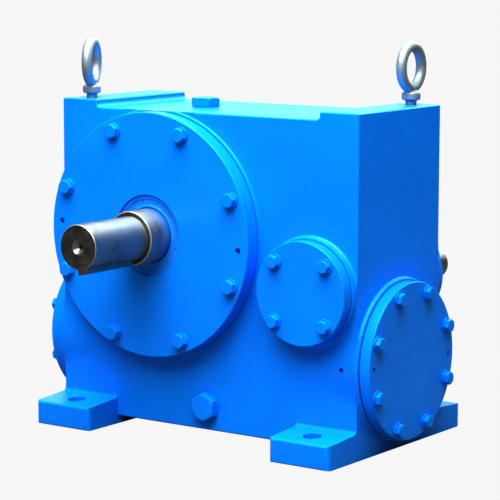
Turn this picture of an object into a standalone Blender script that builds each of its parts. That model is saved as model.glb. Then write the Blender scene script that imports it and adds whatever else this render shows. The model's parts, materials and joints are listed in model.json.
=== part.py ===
"""Two-stage worm gearbox: a foot-mounted housing with bolted covers, two keyed shafts and their gears.

Metres, +Z up. The origin is on the floor, at the middle of the gearbox's overall length and width.
The output shaft leaves the front (-Y), and the input shaft leaves the back (+Y).
"""

import math

import bmesh
import bpy
from mathutils import Matrix

# Housing
WIDTH = 0.650
DEPTH = 0.270
HEIGHT = 0.600
WALL = 0.020
BASE_RELIEF = 0.015
LEDGE_DROP = 0.014
PAD_WIDTH = 0.080
FOOT_WIDTH = 0.125
FOOT_REACH = 0.085
FOOT_EDGE = 0.0425
FOOT_ROOT = 0.0485
FOOT_HOLE = 0.0165

# Shaft axes. The output and input shafts lie along Y, and the intermediate one lies along X.
OUTPUT_X = -0.100
OUTPUT_Z = 0.364
INPUT_X = 0.230
INPUT_Z = 0.2885
MIDDLE_Z = 0.159

# How far each shaft end stands off its wall
OUTPUT_REACH = 0.230
INPUT_REACH = 0.152
OUTPUT_SHOULDER = 0.087

# Cast bosses that the covers sit on: how far they stand off the wall, and their radii
OUTPUT_BOSS = 0.004
INPUT_BOSS = 0.012
SIDE_BOSS = 0.007
REAR_BOSS = 0.006
OUTPUT_BOSS_RADIUS = 0.2245
INPUT_BOSS_RADIUS = 0.0945
SIDE_BOSS_RADIUS = 0.144
REAR_BOSS_RADIUS = 0.110
BOSS_ROOT = 0.010
INNER_BOSS = 0.027
INNER_BOSS_WALL = 0.016
BORE_DEPTH = 0.050

# Covers: plate thickness, radius, and a circle of screws or holes as radius, number and first angle
OUTPUT_PLATE = 0.030
INPUT_PLATE = 0.022
SIDE_PLATE = 0.020
REAR_PLATE = 0.018
OUTPUT_COVER = 0.2213
INPUT_COVER = 0.0915
SIDE_COVER = 0.1405
REAR_COVER = 0.1050
SEAL_COVER = 0.0900
OUTPUT_SCREWS = (0.1994, 8, math.pi / 8)
INPUT_SCREWS = (0.0737, 4, math.pi / 4)
SIDE_SCREWS = (0.1247, 8, math.pi / 8)
OUTPUT_JACKS = (0.2000, 2, math.radians(-3.5))
SIDE_JACKS = (0.1247, 2, math.radians(-2))
OUTPUT_JACK = 0.0058
SIDE_JACK = 0.0045
JACK_DEPTH = 0.016

# Fits between neighbours
GAP = 0.0003
GASKET = 0.0014
GASKET_INSET = 0.001
STACK = GASKET + 2 * GAP
SPIGOT_FIT = 0.0008
BEARING_FIT = 0.0004
THREAD_FIT = 0.0007
SHRINK_FIT = 0.0005

# Screws as width across flats, head height, shank radius, washer radius and washer thickness
M16 = (0.024, 0.0100, 0.008, 0.015, 0.0030)
M14 = (0.021, 0.0088, 0.007, 0.014, 0.0025)
SCREW_GRIP = 0.020

# Plugs and the probe's hole
PLUG_FLATS = 0.046
PLUG_THREAD = 0.0125
PLUG_LENGTH = 0.016
FILLER_HEAD = 0.017
FILLER_TURN = math.radians(50)
DRAIN_HEAD = 0.016
PROBE_HOLE = 0.0045
PROBE_DEPTH = 0.012

# Lifting eyes, whose shanks stand in blind holes in the pads
EYE_RING = 0.0370
EYE_BAR = 0.0095
EYE_HEIGHT = 0.0665
EYE_SHANK = 0.010
EYE_DEPTH = 0.024
EYE_SPREAD = 0.099
LEFT_EYE_TURN = math.radians(25)
RIGHT_EYE_TURN = math.radians(3)

# Shaft radii, and the keys: width, and the radii of the key's top and bottom
OUTPUT_END = 0.040
OUTPUT_JOURNAL = 0.049
OUTPUT_SEAT = 0.050
OUTPUT_KEY = (0.022, 0.0485, 0.0310)
KEY_ANGLE = math.radians(13.2)
INPUT_END = 0.0275
INPUT_JOURNAL = 0.029
INPUT_KEY = (0.016, 0.0318, 0.0216)
MIDDLE_SEAT = 0.0275
MIDDLE_CORE = 0.033
SHAFT_PLAY = 0.003

# Bearings as (inner, outer) radii, and seals
BEARING_WIDTH = 0.026
FRONT_BEARING = (0.0460, 0.0800)
REAR_BEARING = (0.0434, 0.0720)
INPUT_FRONT_BEARING = (0.0228, 0.0520)
INPUT_REAR_BEARING = (0.0308, 0.0520)
MIDDLE_BEARING = (0.0283, 0.0550)
BEARING_INSET = 0.010
OUTPUT_SEAL = (0.0496, 0.0730)
INPUT_SEAL = (0.0296, 0.0420)
SEAL_DEPTH = 0.012
SEAL_STEP = 0.0025

# Gears: module, starts on the worm, teeth on the wheel, worm pitch radius, wheel face and worm length
FIRST_STAGE = {"module": 0.008, "starts": 4, "teeth": 24, "worm": 0.0335, "face": 0.040, "length": 0.092}
SECOND_STAGE = {"module": 0.010, "starts": 3, "teeth": 30, "worm": 0.055, "face": 0.060, "length": 0.120}
DEDENDUM = 1.2
TOOTH_SHARE = 0.41
FLANK_SLOPE = math.tan(math.radians(20))
RIM_SEAT = 0.120

# The housing's middle lies behind the origin, because the output shaft is the longer one.
CENTRE_Y = (OUTPUT_REACH - INPUT_REACH) / 2
FRONT = CENTRE_Y - DEPTH / 2
REAR = CENTRE_Y + DEPTH / 2
HALF = DEPTH / 2
SIDE = WIDTH / 2
LEDGE = HEIGHT - LEDGE_DROP

OUTPUT_AT = (OUTPUT_X, CENTRE_Y, OUTPUT_Z)
INPUT_AT = (INPUT_X, CENTRE_Y, INPUT_Z)
MIDDLE_AT = (0, CENTRE_Y, MIDDLE_Z)
FILLER_AT = (-0.096, CENTRE_Y, LEDGE)
DRAIN_AT = (0.006, FRONT, 0.058)
PROBE_AT = (0.296, FRONT - 0.004, 0.158)
EYE_X = SIDE - PAD_WIDTH / 2

# Faces of the cast bosses and outer faces of the covers, measured from the housing's middle
OUTPUT_SEAT_FACE = HALF + OUTPUT_BOSS
INPUT_SEAT_FACE = HALF + INPUT_BOSS
SIDE_SEAT = SIDE + SIDE_BOSS
REAR_SEAT = HALF + REAR_BOSS
FRONT_FACE = INPUT_SEAT_FACE + STACK + INPUT_PLATE
SIDE_FACE = SIDE_SEAT + STACK + SIDE_PLATE
REAR_FACE = REAR_SEAT + STACK + REAR_PLATE

# Bore radii
OUTPUT_BORE = 0.178
SIDE_BORE = 0.112
REAR_BORE = REAR_BEARING[1] + BEARING_FIT
INPUT_BORE = INPUT_FRONT_BEARING[1] + BEARING_FIT

# Segments on round pieces, and how far a cutter runs past what it cuts
BIG, MEDIUM, SMALL, FEW, TINY = 48, 32, 24, 12, 8
PAST = 0.1

# What each direction does to a piece that is built along its own +Z
TURN = {
    "+X": Matrix(((0, 0, 1), (1, 0, 0), (0, 1, 0))),
    "-X": Matrix(((0, 0, -1), (-1, 0, 0), (0, 1, 0))),
    "+Y": Matrix.Rotation(-math.pi / 2, 3, "X"),
    "-Y": Matrix.Rotation(math.pi / 2, 3, "X"),
    "+Z": Matrix.Identity(3),
}

# Materials: name, colour, metallic and roughness
BLUE = ("blue_enamel", (0.002, 0.250, 0.850), 0.0, 0.28)
STEEL = ("turned_steel", (0.560, 0.570, 0.580), 1.0, 0.30)
ZINC = ("bright_zinc", (0.780, 0.800, 0.820), 1.0, 0.14)
FIBRE = ("gasket_fibre", (0.015, 0.050, 0.110), 0.0, 0.80)
RUBBER = ("seal_rubber", (0.010, 0.100, 0.330), 0.0, 0.45)
BRONZE = ("wheel_bronze", (0.560, 0.330, 0.110), 1.0, 0.35)
IRON = ("hub_iron", (0.160, 0.165, 0.170), 0.6, 0.60)
BEARING = ("bearing_steel", (0.620, 0.630, 0.650), 1.0, 0.20)


# Scene and mesh tools


def clear_scene():
    for obj in list(bpy.data.objects):
        bpy.data.objects.remove(obj, do_unlink=True)


def new_collection(name):
    collection = bpy.data.collections.new(name)
    bpy.context.scene.collection.children.link(collection)
    return collection


def material(kind):
    name, colour, metallic, roughness = kind
    found = bpy.data.materials.get(name)
    if found:
        return found
    made = bpy.data.materials.new(name)
    made.use_nodes = True
    shader = made.node_tree.nodes["Principled BSDF"]
    shader.inputs["Base Color"].default_value = (*colour, 1.0)
    shader.inputs["Metallic"].default_value = metallic
    shader.inputs["Roughness"].default_value = roughness
    return made


def place(obj, direction="+Z", at=(0, 0, 0)):
    obj.matrix_world = Matrix.Translation(at) @ TURN[direction].to_4x4()
    return obj


def part(obj, kind, parent=None):
    """Makes the object a sub-part with its material, on its shaft's empty where it turns."""
    PARTS.objects.link(obj)
    if not obj.data.materials:
        obj.data.materials.append(material(kind))
    if parent:
        obj.parent = parent
        obj.matrix_parent_inverse = parent.matrix_basis.inverted()
    return obj


def helper(obj):
    """Makes the object a cutter or an addition, which is no sub-part itself."""
    CUTTERS.objects.link(obj)
    obj.hide_render = True
    obj.display_type = "WIRE"
    return obj


def combine(obj, other, operation):
    modifier = obj.modifiers.new(other.name, "BOOLEAN")
    modifier.operation = operation
    modifier.object = other
    modifier.solver = "EXACT"
    return obj


def mesh_object(name, bm):
    mesh = bpy.data.meshes.new(name)
    bm.to_mesh(mesh)
    bm.free()
    return bpy.data.objects.new(name, mesh)


def box(name, low, high):
    bm = bmesh.new()
    size = [h - l for l, h in zip(low, high)]
    middle = [(h + l) / 2 for l, h in zip(low, high)]
    bmesh.ops.create_cube(bm, size=1, matrix=Matrix.Translation(middle) @ Matrix.Diagonal((*size, 1)))
    return mesh_object(name, bm)


def cylinders(name, radius, start, end, segments, places=((0, 0),)):
    """Closed cylinders along +Z from start to end, one at each (x, y), as one mesh."""
    bm = bmesh.new()
    for x, y in places:
        bmesh.ops.create_cone(
            bm,
            cap_ends=True,
            segments=segments,
            radius1=radius,
            radius2=radius,
            depth=end - start,
            matrix=Matrix.Translation((x, y, (start + end) / 2)),
        )
    return mesh_object(name, bm)


def turned(name, profile, segments, ring=False):
    """A turned shape about +Z. The profile's (radius, height) points run down its outer side."""
    bm = bmesh.new()
    points = [bm.verts.new((radius, 0, height)) for radius, height in profile]
    for first, second in zip(points, points[1:]):
        bm.edges.new((first, second))
    if ring:
        bm.edges.new((points[-1], points[0]))
    obj = mesh_object(name, bm)
    screw = obj.modifiers.new("Turn", "SCREW")
    screw.steps = segments
    screw.render_steps = segments
    screw.use_merge_vertices = True
    screw.merge_threshold = 0.00001
    screw.use_smooth_shade = True
    return obj


def ring_profile(inner, outer, low, high):
    return [(outer, high), (outer, low), (inner, low), (inner, high)]


def circle_points(radius, count, first):
    """Points on a circle about +Z, the first of them at this angle."""
    angles = [first + 2 * math.pi * k / count for k in range(count)]
    return [(radius * math.cos(angle), radius * math.sin(angle)) for angle in angles]


def baked(obj):
    """The object's mesh with its modifiers applied, for copies to share."""
    bpy.context.view_layer.update()
    graph = bpy.context.evaluated_depsgraph_get()
    return bpy.data.meshes.new_from_object(obj.evaluated_get(graph))


def add_empty(name, direction, at):
    empty = bpy.data.objects.new(name, None)
    PARTS.objects.link(empty)
    return place(empty, direction, at)


# Housing


def wall_bosses():
    """The round bosses that the covers sit on, with the side ones swelling out of the long walls."""
    bosses = []
    seats = (
        ("output_boss", OUTPUT_BOSS_RADIUS, OUTPUT_SEAT_FACE, "-Y", OUTPUT_AT),
        ("input_boss", INPUT_BOSS_RADIUS, INPUT_SEAT_FACE, "-Y", INPUT_AT),
        ("rear_output_boss", REAR_BOSS_RADIUS, REAR_SEAT, "+Y", OUTPUT_AT),
        ("rear_input_boss", INPUT_BOSS_RADIUS, REAR_SEAT, "+Y", INPUT_AT),
    )
    for name, radius, seat, direction, at in seats:
        bosses.append(place(cylinders(name, radius, HALF - BOSS_ROOT, seat, BIG), direction, at))
    # Each side boss has a little draft, and then fades into the long walls.
    profile = [
        (0, SIDE_SEAT),
        (SIDE_BOSS_RADIUS, SIDE_SEAT),
        (0.1425, SIDE - 0.007),
        (0.1390, SIDE - 0.040),
        (0.1330, SIDE - 0.065),
        (0, SIDE - 0.065),
    ]
    for name, direction in (("left_boss", "-X"), ("right_boss", "+X")):
        bosses.append(place(turned(name, profile, BIG), direction, MIDDLE_AT))
    return bosses


def base_rails():
    """A rail under each end of the housing, which runs out into a front and a rear foot with sloping tops."""
    profile = [
        (FRONT - FOOT_REACH, 0),
        (REAR + FOOT_REACH, 0),
        (REAR + FOOT_REACH, FOOT_EDGE),
        (REAR, FOOT_ROOT),
        (FRONT, FOOT_ROOT),
        (FRONT - FOOT_REACH, FOOT_EDGE),
    ]
    for name, low_x in (("left_rail", -SIDE), ("right_rail", SIDE - FOOT_WIDTH)):
        bm = bmesh.new()
        bm.faces.new([bm.verts.new((low_x, y, z)) for y, z in profile])
        extruded = bmesh.ops.extrude_face_region(bm, geom=list(bm.faces))["geom"]
        far_side = [vert for vert in extruded if isinstance(vert, bmesh.types.BMVert)]
        bmesh.ops.translate(bm, vec=(FOOT_WIDTH, 0, 0), verts=far_side)
        bmesh.ops.recalc_face_normals(bm, faces=bm.faces)
        yield mesh_object(name, bm)


def inner_bosses():
    """Short bosses inside the walls, which hold the bearings of the two shafts along Y."""
    seats = (
        ("rear_output_inner_boss", REAR_BORE, "+Y", OUTPUT_AT),
        ("rear_input_inner_boss", INPUT_BORE, "+Y", INPUT_AT),
        ("front_input_inner_boss", INPUT_BORE, "-Y", INPUT_AT),
    )
    for name, bore, direction, at in seats:
        boss = cylinders(name, bore + INNER_BOSS_WALL, HALF - INNER_BOSS, HALF - WALL / 5, MEDIUM)
        yield place(boss, direction, at)


def bores():
    seats = (
        ("output_bore", OUTPUT_BORE, HALF, "-Y", OUTPUT_AT, BIG),
        ("rear_output_bore", REAR_BORE, HALF, "+Y", OUTPUT_AT, SMALL),
        ("input_bore", INPUT_BORE, HALF, "-Y", INPUT_AT, SMALL),
        ("rear_input_bore", INPUT_BORE, HALF, "+Y", INPUT_AT, SMALL),
        ("right_bore", SIDE_BORE, SIDE, "+X", MIDDLE_AT, MEDIUM),
        ("left_bore", SIDE_BORE, SIDE, "-X", MIDDLE_AT, MEDIUM),
    )
    for name, radius, wall, direction, at, segments in seats:
        yield place(cylinders(name, radius, wall - BORE_DEPTH, wall + PAST, segments), direction, at)


def drilled_holes():
    """The foundation bolts' holes, and the holes of the lifting eyes, plugs and probe."""
    hole_x = SIDE - FOOT_WIDTH / 2
    hole_y = HALF + FOOT_REACH / 2
    feet = [(x, CENTRE_Y + y) for x in (-hole_x, hole_x) for y in (-hole_y, hole_y)]
    eyes = [(-EYE_X, CENTRE_Y - EYE_SPREAD), (EYE_X, CENTRE_Y + EYE_SPREAD)]
    eye_bottom = HEIGHT - EYE_DEPTH - SHAFT_PLAY
    plug_hole = PLUG_THREAD + THREAD_FIT
    through_wall = 3 * WALL
    yield cylinders("foot_holes", FOOT_HOLE, -PAST, FOOT_ROOT + PAST, FEW, feet)
    yield cylinders("eye_holes", EYE_SHANK + THREAD_FIT, eye_bottom, HEIGHT + PAST, FEW, eyes)
    yield place(cylinders("filler_hole", plug_hole, -through_wall, WALL, FEW), "+Z", FILLER_AT)
    yield place(cylinders("drain_hole", plug_hole, -through_wall, WALL, FEW), "-Y", DRAIN_AT)
    yield place(cylinders("probe_hole", PROBE_HOLE, -PROBE_DEPTH, WALL, TINY), "-Y", PROBE_AT)


def housing():
    body = box("housing", (-SIDE, FRONT, BASE_RELIEF), (SIDE, REAR, HEIGHT))
    for addition in (*base_rails(), *wall_bosses()):
        combine(body, helper(addition), "UNION")
    ledge_edge = SIDE - PAD_WIDTH
    ledge_cut = box("ledge_cut", (-ledge_edge, FRONT - PAST, LEDGE), (ledge_edge, REAR + PAST, HEIGHT + PAST))
    cavity = box(
        "cavity",
        (-SIDE + WALL, FRONT + WALL, BASE_RELIEF + WALL),
        (SIDE - WALL, REAR - WALL, LEDGE - WALL),
    )
    combine(body, helper(ledge_cut), "DIFFERENCE")
    combine(body, helper(cavity), "DIFFERENCE")
    for boss in inner_bosses():
        combine(body, helper(boss), "UNION")
    for cutter in (*bores(), *drilled_holes()):
        combine(body, helper(cutter), "DIFFERENCE")
    for holes in SCREW_HOLES.values():
        combine(body, holes, "DIFFERENCE")
    part(body, BLUE)


# Covers, gaskets and seals


def screw_holes(name, screw, circle, plate, face, direction, at):
    """The holes that a cover, its gasket and the housing share, below the cover's outer face."""
    depth = plate + STACK + SCREW_GRIP + THREAD_FIT
    radius = screw[2] + THREAD_FIT
    holes = cylinders(name, radius, face - depth, face + PAST, TINY, circle_points(*circle))
    return helper(place(holes, direction, at))


def jack_holes(name, radius, jacks, face, direction, at):
    """Two tapped holes that push a cover off its seat."""
    holes = cylinders(name, radius, face - JACK_DEPTH, face + PAST, TINY, circle_points(*jacks))
    return helper(place(holes, direction, at))


def output_cover():
    plate = FRONT_FACE - OUTPUT_PLATE
    bearing_stop = HALF + 0.017
    spigot = OUTPUT_BORE - SPIGOT_FIT
    carrier = 0.100
    bearing_bore = FRONT_BEARING[1] + BEARING_FIT
    shaft_hole = OUTPUT_JOURNAL + SHAFT_PLAY
    seal_bore = OUTPUT_SEAL[1] + SHRINK_FIT
    profile = [
        (seal_bore, FRONT_FACE),
        (OUTPUT_COVER, FRONT_FACE),
        (OUTPUT_COVER, plate),
        (spigot, plate),
        (spigot, HALF - 0.006),
        (carrier, HALF - 0.006),
        (carrier, HALF - 0.016),
        (bearing_bore, HALF - 0.016),
        (bearing_bore, bearing_stop),
        (shaft_hole, bearing_stop),
        (shaft_hole, FRONT_FACE - SEAL_DEPTH),
        (seal_bore, FRONT_FACE - SEAL_DEPTH),
    ]
    cover = place(turned("output_cover", profile, BIG, ring=True), "-Y", OUTPUT_AT)
    jacks = jack_holes("output_jacks", OUTPUT_JACK, OUTPUT_JACKS, FRONT_FACE, "-Y", OUTPUT_AT)
    combine(cover, SCREW_HOLES["output"], "DIFFERENCE")
    combine(cover, jacks, "DIFFERENCE")
    part(cover, BLUE)


def input_blind_cover():
    plate = FRONT_FACE - INPUT_PLATE
    spigot = INPUT_BORE - SPIGOT_FIT
    profile = [
        (0, FRONT_FACE),
        (INPUT_COVER, FRONT_FACE),
        (INPUT_COVER, plate),
        (spigot, plate),
        (spigot, HALF + 0.005),
        (0, HALF + 0.005),
    ]
    cover = place(turned("input_blind_cover", profile, BIG), "-Y", INPUT_AT)
    part(combine(cover, SCREW_HOLES["input"], "DIFFERENCE"), BLUE)


def side_cover(name, direction):
    plate = SIDE_FACE - SIDE_PLATE
    spigot = SIDE_BORE - SPIGOT_FIT
    hub = MIDDLE_BEARING[1] + BEARING_FIT
    profile = [
        (0, SIDE_FACE),
        (SIDE_COVER, SIDE_FACE),
        (SIDE_COVER, plate),
        (spigot, plate),
        (spigot, SIDE - 0.024),
        (hub, SIDE - 0.024),
        (hub, SIDE + 0.004),
        (0, SIDE + 0.004),
    ]
    cover = place(turned(f"{name}_side_cover", profile, MEDIUM), direction, MIDDLE_AT)
    jacks = jack_holes(f"{name}_jacks", SIDE_JACK, SIDE_JACKS, SIDE_FACE, direction, MIDDLE_AT)
    combine(cover, SCREW_HOLES[name], "DIFFERENCE")
    part(combine(cover, jacks, "DIFFERENCE"), BLUE)


def rear_output_cover():
    """Its plate sits straight on the boss, with sealant and no gasket."""
    seat = REAR_SEAT + GAP
    spigot = REAR_BORE - SPIGOT_FIT
    profile = [
        (0, seat + REAR_PLATE),
        (REAR_COVER, seat + REAR_PLATE),
        (REAR_COVER, seat),
        (spigot, seat),
        (spigot, HALF + 0.004),
        (0, HALF + 0.004),
    ]
    part(place(turned("rear_output_cover", profile, MEDIUM), "+Y", OUTPUT_AT), BLUE)


def input_seal_cover():
    plate = REAR_FACE - REAR_PLATE
    spigot = INPUT_BORE - SPIGOT_FIT
    seal_bore = INPUT_SEAL[1] + SHRINK_FIT
    shaft_hole = INPUT_JOURNAL + SHAFT_PLAY
    profile = [
        (seal_bore, REAR_FACE),
        (SEAL_COVER, REAR_FACE),
        (SEAL_COVER, plate),
        (spigot, plate),
        (spigot, HALF + 0.004),
        (shaft_hole, HALF + 0.004),
        (shaft_hole, REAR_FACE - SEAL_DEPTH),
        (seal_bore, REAR_FACE - SEAL_DEPTH),
    ]
    part(place(turned("input_seal_cover", profile, MEDIUM, ring=True), "+Y", INPUT_AT), BLUE)


def gaskets():
    rings = (
        ("output_gasket", OUTPUT_BORE, OUTPUT_COVER, OUTPUT_SEAT_FACE, "-Y", OUTPUT_AT, "output"),
        ("input_blind_gasket", INPUT_BORE, INPUT_COVER, INPUT_SEAT_FACE, "-Y", INPUT_AT, "input"),
        ("input_seal_gasket", INPUT_BORE, SEAL_COVER, REAR_SEAT, "+Y", INPUT_AT, None),
        ("right_side_gasket", SIDE_BORE, SIDE_COVER, SIDE_SEAT, "+X", MIDDLE_AT, "right"),
        ("left_side_gasket", SIDE_BORE, SIDE_COVER, SIDE_SEAT, "-X", MIDDLE_AT, "left"),
    )
    for name, bore, cover, seat, direction, at, holes in rings:
        low = seat + GAP
        profile = ring_profile(bore + GASKET_INSET, cover - GASKET_INSET, low, low + GASKET)
        gasket = place(turned(name, profile, MEDIUM, ring=True), direction, at)
        if holes:
            combine(gasket, SCREW_HOLES[holes], "DIFFERENCE")
        part(gasket, FIBRE)


def bearing(name, radii, middle, direction, at):
    profile = ring_profile(*radii, middle - BEARING_WIDTH / 2, middle + BEARING_WIDTH / 2)
    part(place(turned(name, profile, SMALL, ring=True), direction, at), BEARING)


def seal(name, radii, face, direction, at):
    """A shaft seal in the recess of its cover, set back a little from the cover's face."""
    profile = ring_profile(*radii, face - SEAL_DEPTH + GAP, face - SEAL_STEP)
    part(place(turned(name, profile, MEDIUM, ring=True), direction, at), RUBBER)


# Fasteners


def screw_mesh(screw, plate):
    """A hex screw on its washer, long enough for this plate, its gasket and the boss below z = 0."""
    flats, height, shank, washer, thickness = screw
    top = GAP + thickness
    mesh = helper(cylinders("screw_washer", washer, GAP, top, FEW))
    head = helper(cylinders("screw_head", flats / math.sqrt(3), GAP + thickness / 2, top + height, 6))
    thread = helper(cylinders("screw_shank", shank, -plate - STACK - SCREW_GRIP, top, TINY))
    mesh = baked(combine(combine(mesh, head, "UNION"), thread, "UNION"))
    mesh.name = "hex_screw"
    return mesh


def screws():
    flanges = (
        ("output_cover", M16, OUTPUT_PLATE, OUTPUT_SCREWS, FRONT_FACE, "-Y", OUTPUT_AT),
        ("input_cover", M14, INPUT_PLATE, INPUT_SCREWS, FRONT_FACE, "-Y", INPUT_AT),
        ("right_cover", M14, SIDE_PLATE, SIDE_SCREWS, SIDE_FACE, "+X", MIDDLE_AT),
        ("left_cover", M14, SIDE_PLATE, SIDE_SCREWS, SIDE_FACE, "-X", MIDDLE_AT),
    )
    for name, screw, plate, circle, face, direction, at in flanges:
        mesh = screw_mesh(screw, plate)
        flange = Matrix.Translation(at) @ TURN[direction].to_4x4()
        for number, (x, y) in enumerate(circle_points(*circle), 1):
            bolt = bpy.data.objects.new(f"{name}_bolt_{number}", mesh)
            bolt.matrix_world = flange @ Matrix.Translation((x, y, face))
            part(bolt, BLUE)


def plug(name, head, matrix):
    """A hex-headed pipe plug that sits on the wall."""
    hexagon = cylinders(name, PLUG_FLATS / math.sqrt(3), GAP, head, 6)
    stem = helper(cylinders(f"{name}_stem", PLUG_THREAD, -PLUG_LENGTH, head / 2, FEW))
    hexagon.matrix_world = matrix
    stem.matrix_world = matrix
    part(combine(hexagon, stem, "UNION"), BLUE)


def lifting_eye(name, x, y, turn):
    """A ring over a collar, its shank down in the pad."""
    stem = [
        (0, 0.0285),
        (0.0100, 0.0285),
        (0.0140, 0.0205),
        (0.0170, 0.0170),
        (0.0170, 0.0105),
        (0.0150, 0.0085),
        (EYE_SHANK, 0.0080),
        (EYE_SHANK, -EYE_DEPTH),
        (0, -EYE_DEPTH),
    ]
    seat = Matrix.Translation((x, y, HEIGHT)) @ Matrix.Rotation(turn, 4, "Z")
    bpy.ops.mesh.primitive_torus_add(
        major_radius=EYE_RING, minor_radius=EYE_BAR, major_segments=SMALL, minor_segments=TINY
    )
    eye = bpy.context.active_object
    for collection in list(eye.users_collection):
        collection.objects.unlink(eye)
    eye.name = name
    upright = Matrix.Rotation(math.pi / 2, 4, "Y")
    eye.matrix_world = seat @ Matrix.Translation((0, 0, EYE_HEIGHT)) @ upright
    shank = helper(turned(f"{name}_shank", stem, FEW))
    shank.matrix_world = seat
    part(combine(eye, shank, "UNION"), ZINC)


# Gears


def tooth_outline(stage, teeth, pitch_radius, lead, first, arc):
    """A closed outline of trapezoid teeth about the origin, the first tooth's middle at this angle.

    A tooth's width is measured along a length of which lead makes one turn, and each tip and root is
    arc straight steps wide.
    """
    module = stage["module"]
    root = pitch_radius - DEDENDUM * module
    tip = pitch_radius + module
    turn = 2 * math.pi / lead
    half_pitch_width = TOOTH_SHARE * math.pi * module / 2
    half_root = (half_pitch_width + DEDENDUM * module * FLANK_SLOPE) * turn
    half_tip = (half_pitch_width - module * FLANK_SLOPE) * turn
    step = 2 * math.pi / teeth
    points = []
    for tooth in range(teeth):
        middle = first + tooth * step
        tip_start = middle - half_tip
        root_start = middle + half_root
        points += [(root, middle - half_root)]
        points += [(tip, tip_start + 2 * half_tip * k / arc) for k in range(arc + 1)]
        points += [(root, root_start + (step - 2 * half_root) * k / arc) for k in range(arc)]
    return [(radius * math.cos(angle), radius * math.sin(angle)) for radius, angle in points]


def twisted_bar(name, outline, length, twist, sections):
    """The outline swept along +Z about the origin while it turns, with its middle unturned on z = 0."""
    bm = bmesh.new()
    corners = [bm.verts.new((x, y, -length / 2)) for x, y in outline]
    face = bm.faces.new(corners)
    bmesh.ops.rotate(bm, verts=corners, matrix=Matrix.Rotation(-twist / 2, 3, "Z"), cent=(0, 0, 0))
    bmesh.ops.spin(
        bm,
        geom=[face],
        cent=(0, 0, 0),
        axis=(0, 0, 1),
        dvec=(0, 0, length / sections),
        angle=twist,
        steps=sections,
        use_duplicate=False,
    )
    bmesh.ops.recalc_face_normals(bm, faces=bm.faces)
    return mesh_object(name, bm)


def worm(name, stage, first):
    """The threads of one stage's worm, the first of them centred at this angle half way along."""
    lead = stage["starts"] * math.pi * stage["module"]
    outline = tooth_outline(stage, stage["starts"], stage["worm"], lead, first, 3)
    turns = stage["length"] / lead
    sections_per_turn = 14
    return twisted_bar(name, outline, stage["length"], 2 * math.pi * turns, round(sections_per_turn * turns))


def wheel(name, stage, first):
    """The toothed ring of one stage's wheel, with a tooth gap centred at this angle half way along."""
    pitch_radius = stage["module"] * stage["teeth"] / 2
    half_tooth = math.pi / stage["teeth"]
    outline = tooth_outline(
        stage, stage["teeth"], pitch_radius, 2 * math.pi * pitch_radius, first + half_tooth, 1
    )
    helix = stage["starts"] * stage["module"] / (2 * stage["worm"])
    return twisted_bar(name, outline, stage["face"], helix * stage["face"] / pitch_radius, 2)


def bored(gear, radius, segments, direction, at):
    """Places a wheel, and bores it for its seat."""
    bore = cylinders(f"{gear.name}_bore", radius, -PAST, PAST, segments)
    return combine(place(gear, direction, at), helper(place(bore, direction, at)), "DIFFERENCE")


# Shafts


def add_key(name, shaft, key, start, end, open_end, matrix, parent):
    """Cuts the keyway into the shaft and fills it with the key, which lies on the shaft's -Y side."""
    width, top, bottom = key
    half = width / 2
    way_end = end + PAST if open_end else end + GAP
    way = box(f"{name}way", (-half - GAP, -top - PAST, start - GAP), (half + GAP, -bottom + GAP, way_end))
    way.matrix_world = matrix
    combine(shaft, helper(way), "DIFFERENCE")
    steel = box(name, (-half, -top, start), (half, -bottom, end))
    steel.matrix_world = matrix
    part(steel, STEEL, parent)


def output_shaft():
    end = HALF + OUTPUT_REACH
    shoulder = HALF + OUTPUT_SHOULDER
    rear_end = -HALF - SHAFT_PLAY
    profile = [
        (0, end - 0.012),
        (0.004, end - 0.010),
        (0.0115, end),
        (OUTPUT_END - 0.003, end),
        (OUTPUT_END, end - 0.003),
        (OUTPUT_END, shoulder),
        (OUTPUT_JOURNAL - 0.001, shoulder),
        (OUTPUT_JOURNAL, shoulder - 0.001),
        (OUTPUT_JOURNAL, HALF + 0.017),
        (0.045, HALF + 0.017),
        (0.045, HALF - 0.016),
        (0.056, HALF - 0.016),
        (0.056, 0.042),
        (OUTPUT_SEAT, 0.042),
        (OUTPUT_SEAT, -0.044),
        (0.0425, -0.044),
        (0.0425, rear_end),
        (0, rear_end),
    ]
    shaft = place(turned("output_shaft", profile, MEDIUM), "-Y", OUTPUT_AT)
    tilt = Matrix.Rotation(-KEY_ANGLE, 4, "Y")
    matrix = Matrix.Translation(OUTPUT_AT) @ tilt @ TURN["-Y"].to_4x4()
    add_key("output_key", shaft, OUTPUT_KEY, shoulder + 0.010, end - 0.001, True, matrix, OUTPUT_AXIS)
    part(shaft, STEEL, OUTPUT_AXIS)


def output_wheel():
    """A bronze rim on a cast hub, with a tooth gap over the worm below it."""
    rim = wheel("output_wheel_rim", SECOND_STAGE, math.pi / 2)
    part(bored(rim, RIM_SEAT + SHRINK_FIT, MEDIUM, "+Y", OUTPUT_AT), BRONZE, OUTPUT_AXIS)
    rim_half = 0.026
    web_half = 0.012
    boss_half = 0.041
    rim_inner = 0.100
    boss = 0.072
    bore = OUTPUT_SEAT + SHRINK_FIT
    profile = [
        (RIM_SEAT, rim_half),
        (RIM_SEAT, -rim_half),
        (rim_inner, -rim_half),
        (rim_inner, -web_half),
        (boss, -web_half),
        (boss, -boss_half),
        (bore, -boss_half),
        (bore, boss_half),
        (boss, boss_half),
        (boss, web_half),
        (rim_inner, web_half),
        (rim_inner, rim_half),
    ]
    hub = turned("output_wheel_hub", profile, MEDIUM, ring=True)
    part(place(hub, "+Y", OUTPUT_AT), IRON, OUTPUT_AXIS)


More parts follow.
